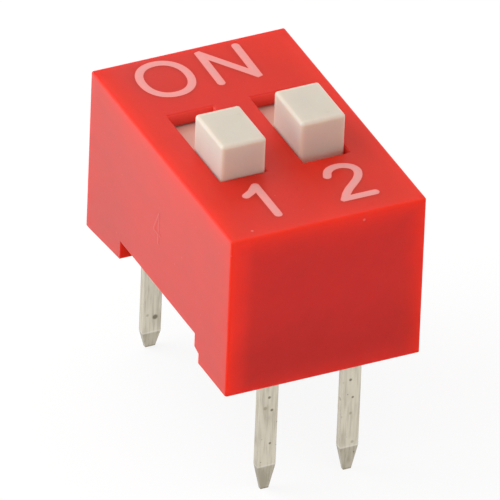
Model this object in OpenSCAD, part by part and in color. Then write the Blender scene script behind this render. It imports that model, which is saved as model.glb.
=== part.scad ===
// Two-way DIP slide switch with raised actuators, millimetres.
// X runs across the switches, +Y points to the ON side, +Z points up.
// The origin is the middle of the four-lead pattern, on the board's surface.

/* [Lead pattern] */
// Distance between the two switches and their leads
pitch = 2.54; // [2.50:0.01:2.62]
// Distance from a row of leads to the cover's outer face beside it
lead_inset = 0.85; // [0.80:0.01:1.00]

/* [Cover] */
// Width of the cover across the switches
cover_x = 5.95; // [5.80:0.01:6.40]
// Depth of the cover from the number side to the ON side
cover_y = 9.32; // [9.00:0.01:10.00]
// Height of the cover above the board
cover_z = 5.13; // [4.90:0.01:5.60]
// Rounding of the cover's upper and upright edges
cover_r = 0.07; // [0.05:0.01:0.25]
// Thickness of the side walls round the base
side_wall = 0.50; // [0.40:0.01:0.60]
// Thickness of the front and rear walls
end_wall = 0.44; // [0.38:0.01:0.50]
// Thickness of the top wall at the slots
top_wall = 0.42; // [0.30:0.01:0.60]
// Edge break round the upper rims of the slots
slot_edge = 0.02; // [0.02:0.01:0.06]
// Height of the snap ridges that hold the base
snap_z = 0.30; // [0.20:0.01:0.40]
// Depth by which the snap ridges reach under the base
snap_y = 0.10; // [0.05:0.01:0.14]
// Length of the snap ridges across the cover
snap_x = 1.20; // [0.80:0.05:1.40]

/* [Side notches] */
// Height of the notch in each side wall
notch_z = 0.82; // [0.60:0.01:1.00]
// Length of the front foot at its sole
front_foot = 1.81; // [1.50:0.01:2.20]
// Length of the ledge above the front foot's inner end
ledge_y = 0.28; // [0.10:0.01:0.50]
// Height of the underside of that ledge above the board
ledge_z = 0.31; // [0.15:0.01:0.45]
// Rise of the ledge's underside towards the notch
ledge_rise = 0.09; // [0.02:0.01:0.14]
// Length of the rear foot
rear_foot = 2.26; // [1.80:0.01:2.60]
// Rise of the rear foot's sole towards the notch
heel_z = 0.22; // [0.05:0.01:0.40]
// Length of the level sole at the rear foot's outer end
heel_y = 0.24; // [0.15:0.01:1.20]

/* [Base] */
// Height of the base's underside above the top of the notch
base_recess = 0.08; // [0.04:0.01:0.20]
// Height of the contact floor above the base's underside
floor_z = 1.40; // [1.20:0.01:1.50]
// Height of the base's rim above the contact floor
rim_z = 0.15; // [0.10:0.01:0.25]
// Depth of the cored recess in the base's underside
core_z = 0.50; // [0.20:0.05:0.80]
// Width of the cored recess
core_x = 3.20; // [2.00:0.05:4.00]
// Length of the cored recess
core_y = 4.60; // [3.00:0.05:5.60]
// Rounding of the base's upright corners
base_r = 0.15; // [0.05:0.01:0.30]
// Half-thickness and height of the detent ridge on the contact floor
detent_r = 0.04; // [0.02:0.01:0.05]

/* [Sliders] */
// Width of the knob
knob_x = 1.36; // [1.10:0.01:1.45]
// Length of the knob along its travel
knob_y = 1.83; // [1.50:0.01:2.00]
// Height of the knob's top above the cover
knob_z = 1.09; // [0.70:0.01:1.50]
// Rounding of the knob's edges
knob_r = 0.10; // [0.05:0.01:0.25]
// Travel of each slider from OFF to ON
travel = 1.68; // [1.50:0.01:1.80]
// Distance of the second slider from its OFF stop, as it stands
second_rest = 0.25; // [0.00:0.01:0.80]
// Width of the sealing plate under the cover's top wall
plate_x = 1.92; // [1.80:0.01:1.98]
// Length of the sealing plate
plate_y = 5.40; // [5.35:0.01:5.60]
// Thickness of the sealing plate
plate_z = 0.55; // [0.40:0.01:0.70]
// Thickness of the two cheeks beside the contact spring
cheek_x = 0.28; // [0.20:0.01:0.30]
// Length of the cheeks
cheek_y = 3.00; // [2.80:0.01:3.20]
// Width and length of the boss that presses on the contact spring
boss_y = 0.80; // [0.60:0.01:0.90]
// Radius of the peg that locates the contact spring
peg_r = 0.18; // [0.12:0.01:0.22]

/* [Terminals] */
// Thickness of the terminal strip
strip_t = 0.25; // [0.20:0.01:0.28]
// Width of a lead
lead_x = 0.56; // [0.45:0.01:0.70]
// Length of the leads below the board's surface
lead_z = 4.00; // [3.00:0.05:4.20]
// Width of a contact pad
pad_x = 1.30; // [1.20:0.01:1.50]
// Height of the shoulder below the contact floor
shoulder_z = 0.85; // [0.60:0.01:1.00]
// Radius of the strip's bend, at the middle of its thickness
bend_r = 0.26; // [0.20:0.01:0.30]
// Distance from the middle to the inner end of a front pad
front_pad_y = 0.10; // [0.05:0.01:0.25]
// Distance from the middle to the inner end of a rear pad
rear_pad_y = 1.05; // [0.95:0.01:1.20]
// Length of the point on the front leads
front_point_z = 0.80; // [0.40:0.01:1.00]
// Width of the tip on the front leads
front_tip_x = 0.24; // [0.15:0.01:0.35]
// Length of the point on the rear leads
rear_point_z = 0.52; // [0.40:0.01:1.00]
// Width of the tip on the rear leads
rear_tip_x = 0.30; // [0.15:0.01:0.35]
// Thickness of the coined tips
tip_t = 0.12; // [0.08:0.01:0.18]

/* [Contact springs] */
// Thickness of the spring leaf
spring_t = 0.10; // [0.06:0.01:0.12]
// Width of the spring leaf
spring_x = 1.20; // [1.00:0.01:1.24]
// Width of the slit that splits each arm into two fingers
slit_x = 0.14; // [0.08:0.01:0.20]
// Length of the flat crown under the slider's boss
crown_y = 0.90; // [0.80:0.01:1.00]
// Slope of the arms, in degrees
arm_tilt = 38; // [30:1:45]
// Straight length of each arm
arm_len = 0.55; // [0.45:0.01:0.65]
// Radius of the feet, at the middle of the leaf
foot_r = 0.20; // [0.15:0.01:0.25]
// Radius of the bends beside the crown
crown_r = 0.15; // [0.10:0.01:0.20]
// Straight length of the turned-up ends
toe_len = 0.12; // [0.05:0.01:0.20]

/* [Clearances] */
// Gap between a knob and each side of its slot
knob_gap = 0.03; // [0.02:0.01:0.10]
// Gap between a knob and the end of its slot
stop_gap = 0.03; // [0.02:0.01:0.08]
// Gap between a slider and the cover round it
slide_gap = 0.05; // [0.02:0.01:0.08]
// Gap between the sealing plate and the end of its bay at full travel
bay_gap = 0.20; // [0.10:0.01:0.30]
// Gap between the base and the cover
base_gap = 0.02; // [0.01:0.01:0.04]
// Gap between a terminal and the base moulded round it
mould_gap = 0.01; // [0.005:0.005:0.02]
// Gap under the feet of a contact spring
contact_gap = 0.06; // [0.05:0.01:0.10]
// Gap between the spring's hole and the slider's peg
peg_gap = 0.04; // [0.02:0.01:0.08]

/* [Hidden] */
$fn = 48;
EPS = 0.5;              // overshoot of a cut through an open face
BEND_STEPS = 6;         // facets round one bend of a strip
row_spacing = cover_y - 2 * lead_inset;     // 7.62, three times the pitch
lead_y = row_spacing / 2;
base_z = notch_z + base_recess;
contact_z = base_z + floor_z;
seat_z = contact_z + rim_z;
plate_top = cover_z - top_wall - slide_gap;
plate_low = plate_top - plate_z;
cheek_low = contact_z + slide_gap;
pocket_x = cover_x - 2 * side_wall;
pocket_y = cover_y - 2 * end_wall;
bay_x = plate_x + 2 * slide_gap;
bay_y = plate_y + travel + 2 * bay_gap;
slot_x = knob_x + 2 * knob_gap;
slot_y = knob_y + travel + 2 * stop_gap;
foot_z = contact_z + contact_gap + spring_t / 2;
arm_drop = (crown_r + foot_r) * (1 - cos(arm_tilt)) + arm_len * sin(arm_tilt);
crown_z = foot_z + arm_drop;
core_top = base_z + core_z;

// Middle of switch n, counted from the left with the numbers towards the viewer.
function way_x(n) = (n - 1.5) * pitch;

// Middle of slider n along its travel, as it stands.
function slider_y(n) = -travel / 2 + (n == 2 ? second_rest : 0);

module rounded_rectangle(x, y, r) {
    square([x - 2 * r, y], center = true);
    square([x, y - 2 * r], center = true);
    for (i = [-1, 1], j = [-1, 1])
        translate([i * (x / 2 - r), j * (y / 2 - r)]) circle(r);
}

// Block on z = 0 with every upper and upright edge rolled over to the same radius.
module rounded_block(x, y, z, r) {
    linear_extrude(z - r) rounded_rectangle(x, y, r);
    block(x - 2 * r, y - 2 * r, 0, z);
    translate([0, 0, z - r]) {
        for (j = [-1, 1]) {
            translate([0, j * (y / 2 - r), 0]) rotate([0, 90, 0])
                cylinder(h = x - 2 * r, r = r, center = true);
            translate([j * (x / 2 - r), 0, 0]) rotate([90, 0, 0])
                cylinder(h = y - 2 * r, r = r, center = true);
        }
        for (i = [-1, 1], j = [-1, 1])
            translate([i * (x / 2 - r), j * (y / 2 - r), 0]) sphere(r);
    }
}

module block(x, y, low, high) {
    translate([-x / 2, -y / 2, low]) cube([x, y, high - low]);
}

// Places [x, y, heading] along the middle of a bent strip, which starts along +X. The path
// is a list of [straight length, turn in degrees, radius at mid-thickness].
function stations(path, i = 0, at = [0, 0, 0]) =
    i == len(path) ? [at] :
    let (
        straight_end = at + path[i][0] * [cos(at[2]), sin(at[2]), 0],
        bend = [for (k = [0:BEND_STEPS]) bend_place(straight_end, path[i], k / BEND_STEPS)]
    )
    path[i][1] == 0 ? concat([at], stations(path, i + 1, straight_end)) :
    concat([at], [for (k = [0:BEND_STEPS - 1]) bend[k]], stations(path, i + 1, bend[BEND_STEPS]));

// Place at a share of the way round a bend.
function bend_place(start, step, share) =
    let (heading = start[2] + share * step[1], reach = sign(step[1]) * step[2])
    [
        start[0] + reach * (sin(heading) - sin(start[2])),
        start[1] + reach * (cos(start[2]) - cos(heading)),
        heading
    ];

// The same places with their mirror image on the other side of the start.
function both_ways(places) = concat(
    [for (k = [len(places) - 1:-1:1]) [-places[k][0], places[k][1], -places[k][2]]],
    places
);

// Outline of a strip of thickness t along such places.
module bent_strip(places, t) {
    last = len(places) - 1;
    function side(p, d) = [p[0] - d * sin(p[2]), p[1] + d * cos(p[2])];
    polygon(concat(
        [for (k = [0:last]) side(places[k], -t / 2)],
        [for (k = [0:last]) side(places[last - k], t / 2)]
    ));
}

// Extrudes an outline drawn as [y, z] across the switch.
module across(width) {
    rotate([90, 0, 90]) linear_extrude(width, center = true) children();
}

module cover() {
    color([0.85, 0.24, 0.2]) {
        difference() {
            rounded_block(cover_x, cover_y, cover_z, cover_r);
            block(pocket_x, pocket_y, -EPS, seat_z);
            side_notches();
            for (n = [1, 2]) translate([way_x(n), 0, 0]) {
                block(bay_x, bay_y, 0, cover_z - top_wall);
                block(slot_x, slot_y, 0, cover_z + EPS);
                translate([0, 0, cover_z - slot_edge]) flared_cut(slot_x, slot_y, slot_edge);
            }
        }
        snap_ridges();
    }
}

// Cut on z = 0 that widens from x by y at 45 degrees, up to twice the edge break's height.
module flared_cut(x, y, flare) {
    intersection() {
        across(x + 4 * flare) trapezium(y, 2 * flare);
        rotate([90, 0, 0])
            linear_extrude(y + 4 * flare, center = true) trapezium(x, 2 * flare);
    }
}

// Outline that stands on its shorter side and widens at 45 degrees.
module trapezium(width, height) {
    polygon([
        [-width / 2, 0],
        [width / 2, 0],
        [width / 2 + height, height],
        [-width / 2 - height, height]
    ]);
}

module side_notches() {
    front = -cover_y / 2 + front_foot;
    rear = cover_y / 2 - rear_foot;
    across(cover_x + 2 * EPS) polygon([
        [front, -EPS],
        [front, ledge_z],
        [front + ledge_y, ledge_z + ledge_rise],
        [front + ledge_y, notch_z],
        [rear, notch_z],
        [rear, heel_z],
        [cover_y / 2 - heel_y, 0],
        [cover_y / 2 - heel_y, -EPS]
    ]);
}

// Wedges inside the front and rear walls, under the base's lower edge.
module snap_ridges() {
    root = pocket_y / 2;
    for (m = [0, 1]) mirror([0, m, 0]) across(snap_x) polygon([
        [root, base_z - base_gap],
        [root - snap_y, base_z - base_gap],
        [root, base_z - base_gap - snap_z]
    ]);
}

module base() {
    color([0.13, 0.13, 0.14]) {
        difference() {
            translate([0, 0, base_z]) linear_extrude(seat_z - base_z)
                rounded_rectangle(pocket_x - 2 * base_gap, pocket_y - 2 * base_gap, base_r);
            for (n = [1, 2]) translate([way_x(n), 0, 0])
                block(bay_x, bay_y, contact_z, seat_z + EPS);
            block(core_x, core_y, base_z - EPS, core_top);
            for (n = [1, 2], rear = [false, true]) terminal(n, rear, mould_gap);
        }
        for (n = [1, 2]) detent_ridge(n);
    }
}

// Low half-round ridge between the pads, which a spring foot climbs on its way to ON.
module detent_ridge(n) {
    translate([way_x(n), (rear_pad_y - front_pad_y) / 2, contact_z]) rotate([0, 90, 0])
        intersection() {
            cylinder(h = pad_x, r = detent_r, center = true);
            translate([-detent_r, 0, 0]) cube([2 * detent_r, 2 * detent_r, pad_x], center = true);
        }
}

module slider(n) {
    color([0.88, 0.85, 0.78]) translate([way_x(n), slider_y(n), 0]) {
        translate([0, 0, plate_low])
            rounded_block(knob_x, knob_y, cover_z + knob_z - plate_low, knob_r);
        block(plate_x, plate_y, plate_low, plate_top);
        for (side = [-1, 1]) translate([side * (plate_x - cheek_x) / 2, 0, 0])
            block(cheek_x, cheek_y, cheek_low, plate_low);
        block(boss_y, boss_y, crown_z + spring_t / 2, plate_low);
        translate([0, 0, crown_z - spring_t])
            cylinder(h = plate_low - crown_z + spring_t, r = peg_r);
    }
}

module contact_spring(n) {
    arm = [
        [crown_y / 2, -arm_tilt, crown_r],
        [arm_len, 2 * arm_tilt, foot_r],
        [toe_len, 0, 0]
    ];
    color([0.83, 0.66, 0.3]) translate([way_x(n), slider_y(n), crown_z]) difference() {
        across(spring_x) bent_strip(both_ways(stations(arm)), spring_t);
        for (side = [-1, 1]) translate([0, side * (crown_y / 2 + cover_y / 4), 0])
            cube([slit_x, cover_y / 2, cover_z], center = true);
        cylinder(h = cover_z, r = peg_r + peg_gap, center = true);
    }
}

// Terminal of switch n, or, with a gap, the space that it takes in the base.
module terminal(n, rear, gap = 0) {
    pad_end = (rear ? rear_pad_y : front_pad_y) - gap;
    pad_run = lead_y - pad_end - bend_r;
    strip_z = contact_z - strip_t / 2;
    bend = [[pad_run, -90, bend_r], [shoulder_z - strip_t / 2 - bend_r + gap, 0, 0]];
    color([0.78, 0.76, 0.7]) translate([way_x(n), 0, 0]) mirror([0, rear ? 0 : 1, 0]) {
        translate([0, pad_end, strip_z])
            across(pad_x + 2 * gap) bent_strip(stations(bend), strip_t + 2 * gap);
        translate([0, lead_y, 0]) lead(rear, gap);
    }
}

// Flat lead with a point tapered in width and coined in thickness.
module lead(rear, gap) {
    tip_x = rear ? rear_tip_x : front_tip_x;
    point_z = rear ? rear_point_z : front_point_z;
    top = contact_z - shoulder_z / 2;
    intersection() {
        rotate([90, 0, 0]) linear_extrude(strip_t + 2 * gap, center = true)
            pointed(lead_x + 2 * gap, tip_x, point_z, top);
        rotate([90, 0, 90]) linear_extrude(lead_x + 2 * gap, center = true)
            pointed(strip_t + 2 * gap, tip_t, point_z, top);
    }
}

module pointed(width, tip, point_z, top) {
    polygon([
        [-width / 2, top],
        [-width / 2, point_z - lead_z],
        [-tip / 2, -lead_z],
        [tip / 2, -lead_z],
        [width / 2, point_z - lead_z],
        [width / 2, top]
    ]);
}

cover();
base();
slider(1);  // slider_1
slider(2);  // slider_2
contact_spring(1);  // contact_spring_1
contact_spring(2);  // contact_spring_2
terminal(1, false);  // terminal_front_1
terminal(2, false);  // terminal_front_2
terminal(1, true);  // terminal_rear_1
terminal(2, true);  // terminal_rear_2
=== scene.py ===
"""Finishes for a two-way slide switch: its moulded and plated pieces, the printed legend and
the table it stands on. Each piece or group of like pieces has its own operator."""

import math

import bmesh
import bpy
from mathutils import Matrix, Vector


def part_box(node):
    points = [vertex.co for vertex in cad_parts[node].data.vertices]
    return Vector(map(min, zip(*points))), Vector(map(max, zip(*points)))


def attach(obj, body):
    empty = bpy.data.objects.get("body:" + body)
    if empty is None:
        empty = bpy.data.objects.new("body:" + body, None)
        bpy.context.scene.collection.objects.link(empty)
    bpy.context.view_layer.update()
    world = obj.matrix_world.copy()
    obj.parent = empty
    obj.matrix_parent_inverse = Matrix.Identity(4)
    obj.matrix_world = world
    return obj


bl_info = {
    "name": "Slide Switch Finishes",
    "version": (1, 0, 0),
    "blender": (4, 5, 0),
    "location": "View3D > Sidebar > Slide Switch",
    "description": "Moulded plastics, printed legend, plated metal and a studio for a slide switch",
    "category": "Object",
}

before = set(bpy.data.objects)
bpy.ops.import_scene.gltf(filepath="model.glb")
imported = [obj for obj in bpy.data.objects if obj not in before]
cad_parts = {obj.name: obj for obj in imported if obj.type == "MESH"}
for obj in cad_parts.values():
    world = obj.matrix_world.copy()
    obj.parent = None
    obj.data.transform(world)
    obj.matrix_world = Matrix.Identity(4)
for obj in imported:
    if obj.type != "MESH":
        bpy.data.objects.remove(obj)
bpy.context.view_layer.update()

MM = 0.001
COVER_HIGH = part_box("cover")[1] / MM
LEAD_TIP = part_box("terminal_front_1")[0].z / MM


# Settings


def display_colour(red, green, blue):
    """Scene colour of a display colour given from 0 to 255."""
    shares = (value / 255 for value in (red, green, blue))
    return tuple(s / 12.92 if s <= 0.04045 else ((s + 0.055) / 1.055) ** 2.4 for s in shares)


def colour_setting(name, description, display):
    return bpy.props.FloatVectorProperty(
        name=name, description=description, default=display_colour(*display),
        subtype="COLOR", size=3, min=0.0, max=1.0,
    )


def length_setting(name, description, millimetres):
    return bpy.props.FloatProperty(
        name=name, description=description, default=millimetres * MM,
        unit="LENGTH", precision=6, min=0.0,
    )


def angle_setting(name, description, degrees):
    return bpy.props.FloatProperty(
        name=name, description=description, default=math.radians(degrees), subtype="ANGLE",
    )


def share_setting(name, description, share, top=1.0):
    return bpy.props.FloatProperty(
        name=name, description=description, default=share, subtype="FACTOR", min=0.0, max=top,
    )


class PlasticSettings(bpy.types.PropertyGroup):
    """Colours and grain of the moulded pieces."""

    cover: colour_setting("Cover", "Red of the cover's flat faces", (220, 47, 33))
    # Painted light: the front and rear faces get a copy of the red tuned to the light on them
    cover_front_lit: colour_setting("Cover front", "Red of the front and rear faces", (219, 54, 50))
    # Painted sheen: the sides' paler red stands in for the white room's reflection on them
    cover_side_sheen: colour_setting("Cover sides", "Paler red of the matt side faces", (219, 79, 73))
    cover_edge: colour_setting("Cover edges", "Red where light shows at the edges", (255, 60, 38))
    knob: colour_setting("Sliders", "Cream of the sliders", (219, 210, 195))
    knob_edge: colour_setting("Slider edges", "Cream at the sliders' edges", (228, 214, 200))
    base: colour_setting("Base", "Black of the base", (34, 34, 37))
    glow_depth: length_setting("Edge glow", "How far the light edges reach into a face", 0.37)
    grain_depth: length_setting("Grain depth", "Depth of the mould's matt grain", 0.0012)
    grain_size: length_setting("Grain size", "Size of the mould's matt grain", 0.05)
    mark_depth: length_setting("Mould mark", "Height of the moulded digit on the side", 0.012)


class LegendSettings(bpy.types.PropertyGroup):
    """Lettering printed on the cover."""

    ink: colour_setting("Ink", "Colour of the ink where it lies thick", (236, 162, 158))
    thin_ink: colour_setting("Thin ink", "Colour of the ink at a stroke's edges", (255, 150, 144))
    stroke: length_setting("Stroke", "Width of a letter's stroke", 0.24)
    film: length_setting("Film", "Thickness of the ink in the middle of a stroke", 0.014)


class MetalSettings(bpy.types.PropertyGroup):
    """Plating of the terminals and the contact springs."""

    tin: colour_setting("Tin", "Colour of the tin plating on the terminals", (212, 205, 188))
    tin_dark: colour_setting("Dull tin", "Colour of the streaks in the tin", (168, 160, 143))
    gold: colour_setting("Gold", "Colour of the plating on the contact springs", (226, 184, 106))


class StudioSettings(bpy.types.PropertyGroup):
    """Camera, lamps and table."""

    azimuth: angle_setting("Azimuth", "Camera's angle round the switch from its front", -26.20)
    elevation: angle_setting("Elevation", "Camera's angle above the horizon", 33.69)
    roll: angle_setting("Roll", "Camera's turn about its own axis", 2.32)
    distance: length_setting("Distance", "From the camera to the point it looks at", 557.6)
    aim: bpy.props.FloatVectorProperty(
        name="Aim", description="Point the camera looks at", subtype="TRANSLATION",
        default=(0.167 * MM, 0.562 * MM, 0.868 * MM), precision=6, size=3,
    )
    lens: bpy.props.FloatProperty(
        name="Lens", description="Focal length in millimetres", default=1440.0, min=50.0,
    )
    ambient: share_setting("Ambient", "Light from the white room on every side", 0.75, top=2.0)
    key: share_setting("Key", "Light that the soft lamp adds to a face turned to it", 0.44, top=2.0)
    table: share_setting("Table", "How much light the table throws back", 0.92)


GROUPS = {
    "switch_plastic": PlasticSettings,
    "switch_legend": LegendSettings,
    "switch_metal": MetalSettings,
    "switch_studio": StudioSettings,
}


# Materials


class Signal:
    """A socket's value on a bench. Arithmetic on it adds the nodes that work it out."""

    def __init__(self, bench, socket):
        self.bench = bench
        self.socket = socket

    def maths(self, operation, *values):
        return self.bench.node("ShaderNodeMath", {"operation": operation}, dict(enumerate(values)))

    def __add__(self, other):
        return self.maths("ADD", self, other)

    def __sub__(self, other):
        return self.maths("SUBTRACT", self, other)

    def __rsub__(self, other):
        return self.maths("SUBTRACT", other, self)

    def __mul__(self, other):
        return self.maths("MULTIPLY", self, other)

    def __truediv__(self, other):
        return self.maths("DIVIDE", self, other)

    def __pow__(self, other):
        return self.maths("POWER", self, other)

    def __rpow__(self, other):
        return self.maths("POWER", other, self)

    def __abs__(self):
        return self.maths("ABSOLUTE", self)

    __radd__ = __add__
    __rmul__ = __mul__

    def least(self, other):
        return self.maths("MINIMUM", self, other)

    def most(self, other):
        return self.maths("MAXIMUM", self, other)

    def fade(self, start, end):
        """0 at start and 1 at end, smooth between them."""
        sockets = {"Value": self, "From Min": start, "From Max": end}
        return self.bench.node("ShaderNodeMapRange", {"interpolation_type": "SMOOTHSTEP"}, sockets)

    def sister(self, output):
        """Another output of the same node."""
        return Signal(self.bench, self.socket.node.outputs[output])


class NodeBench:
    """An emptied node tree and the one way in which nodes are added to it."""

    def __init__(self, owner):
        self.owner = owner
        owner.use_nodes = True
        self.tree = owner.node_tree
        self.tree.nodes.clear()

    def node(self, kind, settings=None, sockets=None, output=0):
        """Adds a node: its settings first, then the values or links of its sockets."""
        made = self.tree.nodes.new(kind)
        for name, value in (settings or {}).items():
            setattr(made, name, value)
        for key, value in (sockets or {}).items():
            if isinstance(value, Signal):
                self.tree.links.new(value.socket, made.inputs[key])
            else:
                made.inputs[key].default_value = value
        return Signal(self, made.outputs[output]) if made.outputs else None


class Finish(NodeBench):
    """A material in the making, measured in millimetres of the part's own frame."""

    def __init__(self, name):
        super().__init__(bpy.data.materials.new(name))
        metres = self.node("ShaderNodeTexCoord", output="Object")
        self.spot = self.scaled(metres, 1 / MM)
        split = self.node("ShaderNodeSeparateXYZ", sockets={"Vector": self.spot}, output="X")
        self.x, self.y, self.z = split, split.sister("Y"), split.sister("Z")

    def scaled(self, vector, factor):
        settings = {"operation": "SCALE"}
        return self.node("ShaderNodeVectorMath", settings, {"Vector": vector, "Scale": factor})

    def noise(self, size, detail=2.0, stretch=(1, 1, 1)):
        """Cloudy noise about 0.5, with patches of that size."""
        settings = {"operation": "DIVIDE"}
        stretched = self.node("ShaderNodeVectorMath", settings, {0: self.spot, 1: stretch})
        sockets = {"Vector": stretched, "Scale": 1 / size, "Detail": detail}
        return self.node("ShaderNodeTexNoise", sockets=sockets)

    def specks(self, spacing, radius, share):
        """1 in round specks, in a share of the cells of that spacing."""
        sockets = {"Vector": self.spot, "Scale": 1 / spacing}
        cells = self.node("ShaderNodeTexVoronoi", sockets=sockets)
        pick = self.node("ShaderNodeSeparateColor", sockets={"Color": cells.sister("Color")})
        near = cells.fade(radius / spacing, 0.5 * radius / spacing)
        return near * pick.fade(1 - share, 1.001 - share)

    def blot(self, centre, radius):
        """1 in one soft round spot, 0 outside it."""
        sockets = {0: self.spot, 1: centre}
        away = self.node("ShaderNodeVectorMath", {"operation": "DISTANCE"}, sockets, "Value")
        return away.fade(radius, 0.4 * radius)

    def stroke(self, across, up, start, end, width):
        """1 along a straight stroke between two points of a flat face, 0 outside it."""
        run = (end[0] - start[0], end[1] - start[1])
        length = math.hypot(*run)
        along = ((across - start[0]) * run[0] + (up - start[1]) * run[1]) / length ** 2
        share = along.most(0).least(1)
        aside = (across - start[0] - share * run[0]) ** 2
        off = (aside + (up - start[1] - share * run[1]) ** 2) ** 0.5
        return off.fade(0.75 * width, 0.25 * width)

    def mix(self, share, under, over):
        """Colour that goes from under to over with share."""
        sockets = {0: share, 6: opaque(under), 7: opaque(over)}
        return self.node("ShaderNodeMix", {"data_type": "RGBA"}, sockets, output=2)

    def relief(self, height, depth, under=None):
        """Normal of a surface that stands depth metres proud where height is 1."""
        sockets = {"Height": height, "Distance": depth}
        if under is not None:
            sockets["Normal"] = under
        return self.node("ShaderNodeBump", sockets=sockets)

    def rounded(self, radius):
        """Normal of the surface with its sharp edges eased to a radius in millimetres."""
        return self.node("ShaderNodeBevel", {"samples": 6}, {"Radius": radius * MM})

    def surface(self, **sockets):
        """Finishes the material; socket names have _ for each space."""
        named = {name.replace("_", " "): value for name, value in sockets.items()}
        shader = self.node("ShaderNodeBsdfPrincipled", sockets=named)
        self.node("ShaderNodeOutputMaterial", sockets={"Surface": shader})
        return self.owner


def opaque(colour):
    return colour if isinstance(colour, Signal) else (*colour, 1.0)


SKIN = 0.04           # how near to a wall's plane a point counts as on that wall
LOW_RIM = 0.33        # how much further off the cover's lower edges seem, as they glow less
FOOT_TONE = 0.945     # brightness of the cover at board level, as a share of its colour
RISE_TONE = 0.016     # how much brighter it is with each millimetre of height
NICK = 0.055          # radius of the nicks in the cover
NICK_PLACES = ((-2.20, -4.34, COVER_HIGH.z), (1.07, -COVER_HIGH.y, 4.88))


def edge_distance(finish, walls):
    """Millimetres to the nearest outer edge of the cover."""
    low = finish.z + LOW_RIM
    distance = walls[0].most(walls[1])
    for pair in (walls[::2], walls[1:], (walls[0], low), (walls[1], low)):
        distance = distance.least(pair[0].most(pair[1]))
    return distance


def cover_reds(finish, plastic, walls):
    """Red of each face: the top is warmer to the right and along its left edge, and cooler
    towards its left rear corner. The front and rear faces have a lit copy of the red, and the sides
    a paler red that is a painted sheen, fading darker towards the rear."""
    left = 0 - finish.x
    half_x = COVER_HIGH.x
    warm = finish.x.fade(-1.6, 2.9).most(left.fade(half_x - 0.7, half_x - 0.2))
    cool = left.fade(-0.4, 1.8) * finish.y.fade(2.0, 4.2) * walls[0].fade(0.2, 0.9)
    red = finish.mix(warm * 0.7, plastic.cover, display_colour(222, 40, 14))
    red = finish.mix(cool * 0.6, red, display_colour(210, 56, 50))
    # lit copy of the red on the front and rear faces
    red = finish.mix(walls[1].fade(SKIN, 0.0), red, plastic.cover_front_lit)
    # painted sheen on the sides, fading darker towards the rear
    sheen_rear_fade = finish.y.fade(0.5, 4.0) * 0.6
    side = finish.mix(sheen_rear_fade, plastic.cover_side_sheen, display_colour(203, 77, 72))
    return finish.mix(walls[0].fade(SKIN, 0.0), red, side)


def cover_plastic(plastic):
    """Red moulded plastic, lighter and warmer where light comes through the cover's edges."""
    finish = Finish("cover_plastic")
    half_x, half_y, top = COVER_HIGH
    walls = (half_x - abs(finish.x), half_y - abs(finish.y), top - finish.z)
    left, forward = 0 - finish.x, 0 - finish.y
    front = forward.fade(half_y - 0.10, half_y - 0.02)
    rear = finish.y.fade(half_y - 0.7, half_y - 0.3)
    fading = -plastic.glow_depth / MM
    strength = 0.42 + front * 0.58 - rear * 0.26
    glow = math.e ** (edge_distance(finish, walls) / fading) * strength
    inside = walls[0].least(walls[1]).fade(0.3, 0.4) * walls[2].fade(0.005, 0.03)
    slot_glow = inside * math.e ** (walls[2] / fading)

    clouds = finish.noise(1.7, detail=3.0)
    flow = finish.noise(0.5, detail=2.0, stretch=(1.0, 3.0, 1.0))
    grain = finish.noise(plastic.grain_size / MM, detail=2.0)
    dust = finish.specks(0.42, 0.028, 0.10)
    pits = finish.specks(0.36, 0.022, 0.08)
    nicks = finish.blot(NICK_PLACES[0], NICK).most(finish.blot(NICK_PLACES[1], NICK))

    red = cover_reds(finish, plastic, walls)
    red = finish.mix(glow, red, plastic.cover_edge)
    red = finish.mix(slot_glow, red, display_colour(255, 100, 90))
    red = finish.mix(nicks * 0.35 + dust * 0.14, red, display_colour(255, 190, 180))
    red = finish.mix(pits * 0.25, red, display_colour(150, 30, 28))

    # Painted light and shade on the front and rear faces: lighter near the left edge, where light
    # comes through from the lit side, lighter in a band at the foot, and painted shade lower down
    left_light_band = left.fade(half_x - 0.78, half_x - 0.40) * 0.12
    foot_glow = finish.z.fade(0.7, 0.0) * 0.06
    low_shade = finish.z.fade(2.6, 0.8) * 0.10
    front_light_and_shade = walls[1].fade(SKIN, 0.0) * (left_light_band + foot_glow - low_shade)
    mottle = (clouds - 0.5) * 0.14 + (flow - 0.5) * 0.08 + (grain - 0.5) * 0.10
    tone = FOOT_TONE + finish.z * RISE_TONE + front_light_and_shade + mottle

    digit = moulded_digit(finish) * left.fade(half_x - 0.03, half_x - 0.02)
    normal = finish.rounded(0.03)
    normal = finish.relief(flow, 0.004 * MM, normal)
    normal = finish.relief(digit, plastic.mark_depth, normal)
    normal = finish.relief(grain - pits, plastic.grain_depth, normal)
    return finish.surface(
        Base_Color=finish.scaled(red, tone),
        Roughness=0.34 + (grain - 0.5) * 0.16 + (clouds - 0.5) * 0.12,
        Normal=normal,
        Specular_IOR_Level=0.16,
        Subsurface_Weight=1.0,
        Subsurface_Radius=(1.0, 0.14, 0.10),
        Subsurface_Scale=0.4 * MM,
    )


def moulded_digit(finish):
    """A plain 4 on the left side, read from outside with the cover's top upwards."""
    middle_y, foot_z, head_z = 0.06, 2.26, 3.20
    left, right, bar_z, width = 0.20, -0.20, 2.56, 0.09
    across, up = finish.y - middle_y, finish.z
    stem = 0.5 * right
    strokes = [
        ((stem, head_z), (left, bar_z)),
        ((left, bar_z), (right, bar_z)),
        ((stem, head_z), (stem, foot_z)),
    ]
    digit = 0.0
    for start, end in strokes:
        digit = finish.stroke(across, up, start, end, width).most(digit)
    return digit


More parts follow.
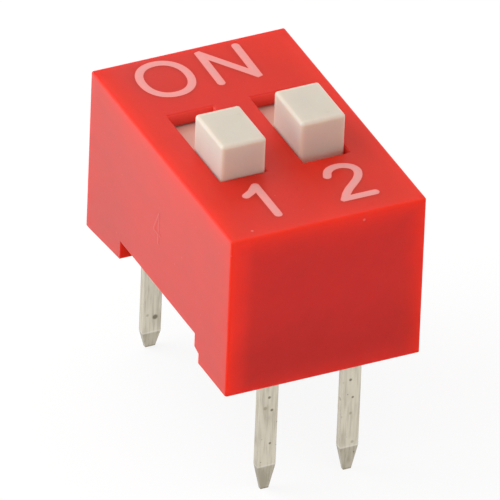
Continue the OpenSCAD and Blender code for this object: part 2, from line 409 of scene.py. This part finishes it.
def base_plastic(plastic):
    """Black glass-filled plastic with its fibres just showing."""
    finish = Finish("base_plastic")
    fibres = finish.noise(0.06, detail=3.0, stretch=(1.0, 4.0, 1.0))
    clouds = finish.noise(1.1, detail=2.0)
    flecks = finish.specks(0.22, 0.02, 0.2)
    black = finish.mix(flecks * 0.3, plastic.base, display_colour(96, 96, 100))
    tone = 1.0 + (clouds - 0.5) * 0.5 + (fibres - 0.5) * 0.7
    return finish.surface(
        Base_Color=finish.scaled(black, tone),
        Roughness=0.50 + (fibres - 0.5) * 0.25,
        Normal=finish.relief(fibres + flecks * 0.5, 0.003 * MM, finish.rounded(0.02)),
        Specular_IOR_Level=0.4,
    )


KNOB_HALF = (0.68, 0.915)     # half the knob's width and length


def slider_plastic(plastic, name, box):
    """Cream plastic with a satin skin, lighter along the edges that fingers rub, and pink inside
    its slot with painted red light that the cover throws back."""
    finish = Finish(name)
    low, high = box
    middle = (low + high) / 2
    side = KNOB_HALF[0] - abs(finish.x - middle.x)
    end = KNOB_HALF[1] - abs(finish.y - middle.y)
    top = high.z - finish.z
    rubbed = side.most(end).least(side.most(top)).least(end.most(top)).fade(0.20, 0.0)
    # Painted reflection: pink where the red cover would throw light onto the slider, below the
    # cover's top
    painted_red_bounce = (COVER_HIGH.z - finish.z).fade(-0.14, 0.30) * 0.42

    clouds = finish.noise(0.9, detail=3.0)
    grain = finish.noise(0.04, detail=2.0)
    smears = finish.noise(0.22, detail=3.0, stretch=(1.0, 1.0, 2.5))
    dirt = finish.specks(0.30, 0.022, 0.10)
    grime = dirt * 0.35 + smears.fade(0.60, 0.85) * 0.10
    cream = finish.mix(side.fade(0.05, 0.0), plastic.knob, display_colour(221, 220, 210))
    cream = finish.mix(rubbed * 0.6, cream, plastic.knob_edge)
    cream = finish.mix(grime, cream, display_colour(150, 128, 108))
    cream = finish.mix(painted_red_bounce, cream, display_colour(255, 158, 140))
    tone = 1.0 + (clouds - 0.5) * 0.10 + (grain - 0.5) * 0.05
    normal = finish.relief(clouds, 0.006 * MM, finish.rounded(0.02))
    return finish.surface(
        Base_Color=finish.scaled(cream, tone),
        Roughness=0.38 + (grain - 0.5) * 0.15 + (smears - 0.5) * 0.15,
        Normal=finish.relief(grain - dirt, 0.0009 * MM, normal),
        Specular_IOR_Level=0.35,
        Subsurface_Weight=0.8,
        Subsurface_Radius=(1.0, 0.72, 0.5),
        Subsurface_Scale=0.4 * MM,
    )


def legend_ink(legend):
    """Ink that lies thick and greyish in the middle of a stroke, and thin and pink at its edges."""
    finish = Finish("legend_ink")
    film = legend.film / MM
    thick = (finish.z - COVER_HIGH.z).fade(EDGE_FILM * film, 0.9 * film)
    grain = finish.noise(0.10, detail=3.0)
    patches = finish.noise(0.45, detail=2.0)
    hiding = (thick * 0.8 + (patches - 0.5) * 0.9).most(0).least(1)
    colour = finish.mix(hiding, legend.thin_ink, legend.ink)
    return finish.surface(
        Base_Color=finish.scaled(colour, 1.0 + (grain - 0.5) * 0.12),
        Roughness=0.5 + (grain - 0.5) * 0.2,
        Normal=finish.relief(grain, 0.003 * MM),
        Specular_IOR_Level=0.35,
    )


LEAD_POINTS = {"front": 0.80, "rear": 0.52}     # length of each row's tapered points
TIN_MARKS = {         # dark marks in each row's tin: centre and radius
    "front": (
        ((-1.26, -3.935, -0.91), 0.06),
        ((-1.17, -3.935, -1.35), 0.06),
        ((-1.19, -3.935, -2.46), 0.05),
        ((1.23, -3.935, -0.95), 0.06),
        ((1.32, -3.935, -1.55), 0.05),
    ),
    "rear": (((-1.18, 3.685, -2.985), 0.11),),
}


def tin_plate(metal, row):
    """Satin tin with drawn streaks, small pits, dark marks, a bright crease above the point and
    painted shade on the point.
    """
    finish = Finish(f"{row}_tin_plate")
    streaks = finish.noise(0.07, detail=3.0, stretch=(1.0, 1.0, 12.0))
    blooms = finish.noise(0.42, detail=3.0, stretch=(1.0, 1.0, 2.0))
    grain = finish.noise(0.03, detail=2.0)
    pits = finish.specks(0.24, 0.03, 0.22)
    stains = finish.specks(0.34, 0.075, 0.30)
    height = finish.z - LEAD_TIP
    above = height - LEAD_POINTS[row]
    crease = above.fade(0.05, 0.0) * above.fade(-0.05, 0.0)
    # Painted shade: the tapered point, whose faces turn down, is darkened towards the dull tin
    point_shade = above.fade(0.02, -0.04)
    cut = height.fade(0.07, 0.02)
    dull_and_shade = streaks.fade(0.42, 0.72) * 0.45 + blooms.fade(0.45, 0.75) * 0.35 + point_shade * 0.65
    colour = finish.mix(dull_and_shade.least(1), metal.tin, metal.tin_dark)
    colour = finish.mix(stains * 0.45 + cut * 0.4, colour, display_colour(122, 112, 88))
    colour = finish.mix(pits * 0.55, colour, display_colour(96, 84, 74))
    for centre, radius in TIN_MARKS[row]:
        colour = finish.mix(finish.blot(centre, radius) * 0.75, colour, display_colour(88, 78, 56))
    colour = finish.mix(crease * 0.35, colour, display_colour(238, 234, 224))
    drawn = streaks * 0.6 + grain * 0.4 - pits
    return finish.surface(
        Base_Color=colour,
        Metallic=1.0,
        Roughness=0.34 + (streaks - 0.5) * 0.25 + (blooms - 0.5) * 0.2 + pits * 0.2,
        Normal=finish.relief(drawn, 0.0025 * MM, finish.rounded(0.02)),
    )


def gold_plate(metal):
    """Thin gold over rolled spring strip."""
    finish = Finish("gold_plate")
    rolled = finish.noise(0.05, detail=3.0, stretch=(1.0, 14.0, 1.0))
    blooms = finish.noise(0.35, detail=2.0)
    colour = finish.mix(blooms.fade(0.45, 0.8) * 0.5, metal.gold, display_colour(196, 138, 84))
    return finish.surface(
        Base_Color=finish.scaled(colour, 1.0 + (rolled - 0.5) * 0.2),
        Metallic=1.0,
        Roughness=0.26 + (rolled - 0.5) * 0.2,
        Normal=finish.relief(rolled, 0.001 * MM),
    )


def coat(node, material):
    """Gives a CAD node its material."""
    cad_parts[node].material_slots[0].material = material


# Printed legend

INK_SINK = 0.01       # how far the ink reaches into the cover's surface
EDGE_FILM = 0.35      # thickness at a stroke's edge, as a share of the middle's
WELD = 1e-4           # points nearer to each other than this are one
ROUND_STEP = math.radians(15)     # between the points of a round end or corner
EASY_TURN = math.radians(25)      # a corner that turns by more than this isn't a plain mitre
SHARP_EDGE = math.radians(40)     # an edge of the film that turns by more than this looks sharp
RING_POINTS = 48      # points round the O
TWO_GUIDES = (        # places on the 2's bowl and neck, across and up from its lower left corner
    (0.008, 1.192), (0.110, 1.395), (0.255, 1.512), (0.450, 1.560), (0.660, 1.522), (0.840, 1.397),
    (0.912, 1.202), (0.865, 1.002), (0.735, 0.802), (0.528, 0.602), (0.305, 0.402), (0.129, 0.202),
)


def turned(vector, angle):
    return Matrix.Rotation(angle, 2) @ vector


def fan(centre, start, angle):
    """Triangles of a round end or corner: points swept from start about centre."""
    steps = max(1, math.ceil(abs(angle) / ROUND_STEP))
    rim = [centre + turned(start, angle * k / steps) for k in range(steps + 1)]
    return [(centre, a, b) for a, b in zip(rim, rim[1:])]


def band(path, width, closed=False, blunt=0.0):
    """Points and faces of a band along a flat path. A sharp corner is round, or where blunt is
    given its outer edges run on by that share of half the width."""
    points = [Vector(p) for p in path]
    count, half = len(points), width / 2
    spans = range(count if closed else count - 1)
    runs = [(points[(k + 1) % count] - points[k]).normalized() for k in spans]
    sides = [turned(run, math.pi / 2) * half for run in runs]
    starts = [[side, -side] for side in sides]
    ends = [[side, -side] for side in sides]
    faces = []
    for k in range(0 if closed else 1, len(runs)):
        before, after = runs[k - 1], runs[k]
        turn = -before.angle_signed(after)
        mitre = turned(before, math.pi / 2 + turn / 2) * half / math.cos(turn / 2)
        inner = 0 if turn > 0 else 1
        sharp = abs(turn) > EASY_TURN
        for edge in (inner,) if sharp else (0, 1):
            ends[k - 1][edge] = starts[k][edge] = (mitre, -mitre)[edge]
        first, last = ends[k - 1][1 - inner], starts[k][1 - inner]
        if sharp and blunt:
            reach = blunt * half
            outline = (first, first + before * reach, last - after * reach, last)
            rim = [points[k] + corner for corner in outline]
            faces += [(points[k], a, b) for a, b in zip(rim, rim[1:])]
        elif sharp:
            faces += fan(points[k], first, turn)
    for k in spans:
        here, there = points[k], points[(k + 1) % count]
        for edge in (0, 1):
            faces.append((here, there, there + ends[k][edge], here + starts[k][edge]))
    if not closed:
        faces += fan(points[0], starts[0][0], math.pi)
        faces += fan(points[-1], ends[-1][1], math.pi)
    return points, faces


def ink_film(name, glyph, legend):
    """A low dome of ink along a stroke, a little sunk into the cover."""
    bm = bmesh.new()
    top, film = COVER_HIGH.z, legend.film / MM
    middles, faces = band(width=legend.stroke / MM, **glyph)
    for face in faces:
        corners = []
        for point in face:
            in_middle = any((point - middle).length < WELD for middle in middles)
            rise = film if in_middle else EDGE_FILM * film
            corners.append(bm.verts.new(Vector((*point, top + rise)) * MM))
        bm.faces.new(corners)
    bmesh.ops.remove_doubles(bm, verts=bm.verts, dist=WELD * MM)
    rim = [edge.verts[:] for edge in bm.edges if edge.is_boundary]
    under = {vert: bm.verts.new(vert.co) for vert in bm.verts[:]}
    for vert in under.values():
        vert.co.z = (top - INK_SINK) * MM
    for face in bm.faces[:]:
        bm.faces.new([under[vert] for vert in face.verts])
    for a, b in rim:
        bm.faces.new((a, b, under[b], under[a]))
    bmesh.ops.recalc_face_normals(bm, faces=bm.faces)
    mesh = bpy.data.meshes.new(name)
    bm.to_mesh(mesh)
    bm.free()
    mesh.shade_smooth()
    mesh.set_sharp_from_angle(angle=SHARP_EDGE)
    piece = bpy.data.objects.new(name, mesh)
    bpy.context.scene.collection.objects.link(piece)
    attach(piece, "housing")
    return piece


def curve(guides, steps=5):
    """Points of a smooth curve through the guides."""
    guides = [Vector(g) for g in guides]
    guides = [2 * guides[0] - guides[1], *guides, 2 * guides[-1] - guides[-2]]
    points = []
    for a, b, c, d in zip(guides, guides[1:], guides[2:], guides[3:]):
        for t in (k / steps for k in range(steps)):
            points.append(
                b + (c - a) * t / 2 + (2 * a - 5 * b + 4 * c - d) * t**2 / 2
                + (3 * b - a - 3 * c + d) * t**3 / 2
            )
    return [*points, guides[-2]]


def letter_o(centre, width, height, squareness):
    """A ring between an ellipse, where squareness is 2, and a rectangle."""
    ring = []
    for angle in (math.tau * k / RING_POINTS for k in range(RING_POINTS)):
        turns = (math.cos(angle), math.sin(angle))
        across, up = (math.copysign(abs(t) ** (2 / squareness), t) for t in turns)
        ring.append((centre[0] + across * width / 2, centre[1] + up * height / 2))
    return {"path": ring, "closed": True}


def letter_n(foot, width, height, lean):
    """Two stems that lean across by that length, and the bar between them."""
    left, right = foot[0], foot[0] + width
    low, high = foot[1], foot[1] + height
    path = [(left, low), (left + lean, high), (right, low), (right + lean, high)]
    return {"path": path, "blunt": 0.7}


def digit_1(foot, height, bend, tip):
    """A stem, and a flag that hangs down from its head by way of the bend to the tip."""
    head = (foot[0], foot[1] + height)
    flag = [(head[0] - across, head[1] - down) for across, down in (tip, bend)]
    return {"path": [*flag, head, foot]}


def digit_2(corner, length, guides):
    """A bowl and neck through the guides down to the corner, and a foot of that length."""
    head = curve([(corner[0] + across, corner[1] + up) for across, up in guides])
    return {"path": [*head, corner, (corner[0] + length, corner[1])], "blunt": 0.8}


# Stage

TABLE_WHITE = 0.78    # share of plain white in the table as it is seen
TABLE_GLOW = 1.06     # strength of that white, which makes up for the part that is lit


def seen_white(bench):
    """1 for the rays that show the background: seen straight, mirrored or through glass."""
    seen = bench.node("ShaderNodeLightPath", output="Is Camera Ray")
    return seen.most(seen.sister("Is Glossy Ray")).most(seen.sister("Is Transmission Ray"))


def white_room(scene, studio):
    """Even light from every side, white where the background is seen."""
    scene.world = bpy.data.worlds.new("white_room")
    room = NodeBench(scene.world)
    shown = seen_white(room)
    light = shown + (1 - shown) * studio.ambient
    glow = room.node("ShaderNodeBackground", sockets={"Color": (1, 1, 1, 1), "Strength": light})
    room.node("ShaderNodeOutputWorld", sockets={"Surface": glow})


def white_table(studio):
    """A pale table under the lead tips, white to the eye but for the switch's soft shadow."""
    half, clear = 0.4, 0.002 * MM
    level = LEAD_TIP * MM - clear
    corners = [(-half, -half), (half, -half), (half, half), (-half, half)]
    mesh = bpy.data.meshes.new("table")
    mesh.from_pydata([(*corner, level) for corner in corners], [], [(0, 1, 2, 3)])
    table = bpy.data.objects.new("table", mesh)
    bpy.context.scene.collection.objects.link(table)

    paper = NodeBench(bpy.data.materials.new("table_paper"))
    pale = (studio.table, studio.table, studio.table, 1)
    lit = paper.node("ShaderNodeBsdfDiffuse", sockets={"Color": pale})
    glow = {"Color": (1, 1, 1, 1), "Strength": TABLE_GLOW}
    white = paper.node("ShaderNodeEmission", sockets=glow)
    shown = paper.node("ShaderNodeMixShader", sockets={0: TABLE_WHITE, 1: lit, 2: white})
    top = paper.node("ShaderNodeMixShader", sockets={0: seen_white(paper), 1: lit, 2: shown})
    clear_below = paper.node("ShaderNodeBsdfTransparent")
    under = paper.node("ShaderNodeNewGeometry", output="Backfacing")
    sheet = paper.node("ShaderNodeMixShader", sockets={0: under, 1: top, 2: clear_below})
    paper.node("ShaderNodeOutputMaterial", sockets={"Surface": sheet})
    mesh.materials.append(paper.owner)


def soft_lamp(studio):
    """One wide lamp above, behind and to the left, which shades the front a little."""
    towards, away, width = Vector((-0.68, 0.42, 0.60)).normalized(), 0.06, 0.05
    lamp = bpy.data.lights.new("soft_lamp", "AREA")
    lamp.size = width
    lamp.energy = studio.key * (math.pi * away) ** 2
    holder = bpy.data.objects.new("soft_lamp", lamp)
    holder.location = towards * away
    holder.rotation_euler = towards.to_track_quat("Z", "Y").to_euler()
    holder.visible_camera = False
    bpy.context.scene.collection.objects.link(holder)


def camera(studio):
    """A long lens looking down at the switch from the front left."""
    lens = bpy.data.cameras.new("camera")
    lens.lens = studio.lens
    holder = bpy.data.objects.new("camera", lens)
    around = Matrix.Rotation(studio.azimuth, 3, "Z")
    above = Matrix.Rotation(math.pi / 2 - studio.elevation, 3, "X")
    turn = around @ above @ Matrix.Rotation(studio.roll, 3, "Z")
    holder.location = Vector(studio.aim) + turn @ Vector((0, 0, studio.distance))
    holder.rotation_euler = turn.to_euler()
    bpy.context.scene.collection.objects.link(holder)
    return holder


# Operators


class SWITCH_OT_mould_cover(bpy.types.Operator):
    """Give the cover its red moulded plastic"""

    bl_idname = "slide_switch.mould_cover"
    bl_label = "Mould Cover"

    def execute(self, context):
        coat("cover", cover_plastic(context.scene.switch_plastic))
        return {"FINISHED"}


class SWITCH_OT_mould_base(bpy.types.Operator):
    """Give the base its black moulded plastic"""

    bl_idname = "slide_switch.mould_base"
    bl_label = "Mould Base"

    def execute(self, context):
        coat("base", base_plastic(context.scene.switch_plastic))
        return {"FINISHED"}


class SWITCH_OT_mould_sliders(bpy.types.Operator):
    """Give both sliders their cream moulded plastic"""

    bl_idname = "slide_switch.mould_sliders"
    bl_label = "Mould Sliders"

    def execute(self, context):
        for node in ("slider_1", "slider_2"):
            box = [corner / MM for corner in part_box(node)]
            coat(node, slider_plastic(context.scene.switch_plastic, f"{node}_plastic", box))
        return {"FINISHED"}


class SWITCH_OT_plate_springs(bpy.types.Operator):
    """Give both contact springs their gold plating"""

    bl_idname = "slide_switch.plate_springs"
    bl_label = "Plate Contact Springs"

    def execute(self, context):
        gold = gold_plate(context.scene.switch_metal)
        for node in ("contact_spring_1", "contact_spring_2"):
            coat(node, gold)
        return {"FINISHED"}


class SWITCH_OT_plate_terminals(bpy.types.Operator):
    """Give the four terminals their tin plating"""

    bl_idname = "slide_switch.plate_terminals"
    bl_label = "Plate Terminals"

    def execute(self, context):
        for row in LEAD_POINTS:
            tin = tin_plate(context.scene.switch_metal, row)
            for way in (1, 2):
                coat(f"terminal_{row}_{way}", tin)
        return {"FINISHED"}


class SWITCH_OT_print_legend(bpy.types.Operator):
    """Print ON, 1 and 2 on top of the cover"""

    bl_idname = "slide_switch.print_legend"
    bl_label = "Print Legend"

    def execute(self, context):
        legend = context.scene.switch_legend
        ink = legend_ink(legend)
        glyphs = {
            "legend_letter_o": letter_o((-1.228, 3.486), 1.41, 1.62, squareness=2.16),
            "legend_letter_n": letter_n((0.135, 2.735), 1.125, 1.557, lean=0.035),
            "legend_digit_1": digit_1((-1.182, -3.855), 1.52, (0.215, 0.235), (0.440, 0.372)),
            "legend_digit_2": digit_2((0.86, -3.852), 0.915, TWO_GUIDES),
        }
        for name, glyph in glyphs.items():
            ink_film(name, glyph, legend).data.materials.append(ink)
        return {"FINISHED"}


class SWITCH_OT_set_stage(bpy.types.Operator):
    """Set the table, the lamps and the camera"""

    bl_idname = "slide_switch.set_stage"
    bl_label = "Set Stage"

    def execute(self, context):
        studio = context.scene.switch_studio
        context.scene.view_settings.view_transform = "Standard"
        white_room(context.scene, studio)
        white_table(studio)
        soft_lamp(studio)
        context.scene.camera = camera(studio)
        return {"FINISHED"}


# Panel and registration


class SWITCH_PT_finishes(bpy.types.Panel):
    """Lists the settings of the finishes and the steps that make them"""

    bl_idname = "SWITCH_PT_finishes"
    bl_label = "Slide Switch"
    bl_space_type = "VIEW_3D"
    bl_region_type = "UI"
    bl_category = "Slide Switch"

    def draw(self, context):
        for group in GROUPS:
            settings = getattr(context.scene, group)
            box = self.layout.box()
            for name in GROUPS[group].__annotations__:
                box.prop(settings, name)
        column = self.layout.column(align=True)
        for step in STEPS:
            column.operator(step.bl_idname)


STEPS = (
    SWITCH_OT_mould_cover,
    SWITCH_OT_mould_base,
    SWITCH_OT_mould_sliders,
    SWITCH_OT_plate_springs,
    SWITCH_OT_plate_terminals,
    SWITCH_OT_print_legend,
    SWITCH_OT_set_stage,
)
CLASSES = (*GROUPS.values(), *STEPS, SWITCH_PT_finishes)


def register():
    for made in CLASSES:
        bpy.utils.register_class(made)
    for group, settings in GROUPS.items():
        setattr(bpy.types.Scene, group, bpy.props.PointerProperty(type=settings))


def unregister():
    for group in GROUPS:
        delattr(bpy.types.Scene, group)
    for made in reversed(CLASSES):
        bpy.utils.unregister_class(made)


def main():
    register()
    for step in STEPS:
        family, action = step.bl_idname.split(".")
        getattr(getattr(bpy.ops, family), action)()


if __name__ == "__main__":
    main()
